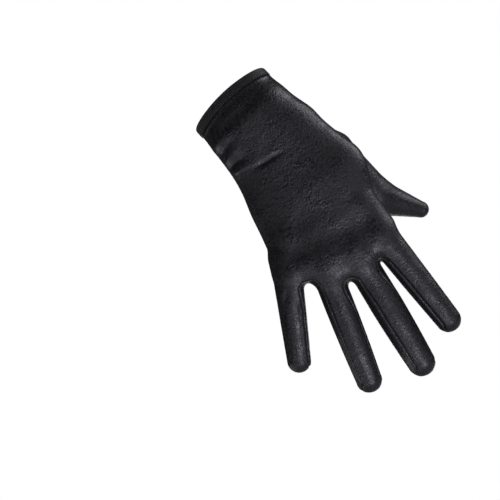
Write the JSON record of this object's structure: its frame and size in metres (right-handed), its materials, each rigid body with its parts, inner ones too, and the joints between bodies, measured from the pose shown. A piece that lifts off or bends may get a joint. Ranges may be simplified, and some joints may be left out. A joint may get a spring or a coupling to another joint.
{
  "type": "wrist length dress glove",
  "caption": "A right-hand dress glove of black stretch satin that ends at the wrist, with strips sewn between its fingers, a set-in thumb and a stitched hem.",
  "frame": {"origin": "centre of the wrist opening, level with the cuff's rim", "axes": "+Z along the wrist, out of the cuff, so the fingers point to -Z; +X to the index finger and the thumb's side; -Y is the back of the hand"},
  "size_m": [0.1435, 0.0905, 0.2205],
  "materials": {
    "glove_satin": "black stretch satin with a soft broad sheen and a fine grain",
    "hem_satin": "black stretch satin turned up double and stitched"
  },
  "bodies": {
    "root": {"cuff_hem": "hem_satin", "back_panel": "glove_satin", "palm_panel": "glove_satin", "fourchette_little_ring": "glove_satin", "fourchette_ring_middle": "glove_satin", "fourchette_middle_index": "glove_satin", "thumb": "glove_satin"}
  },
  "joints": []
}
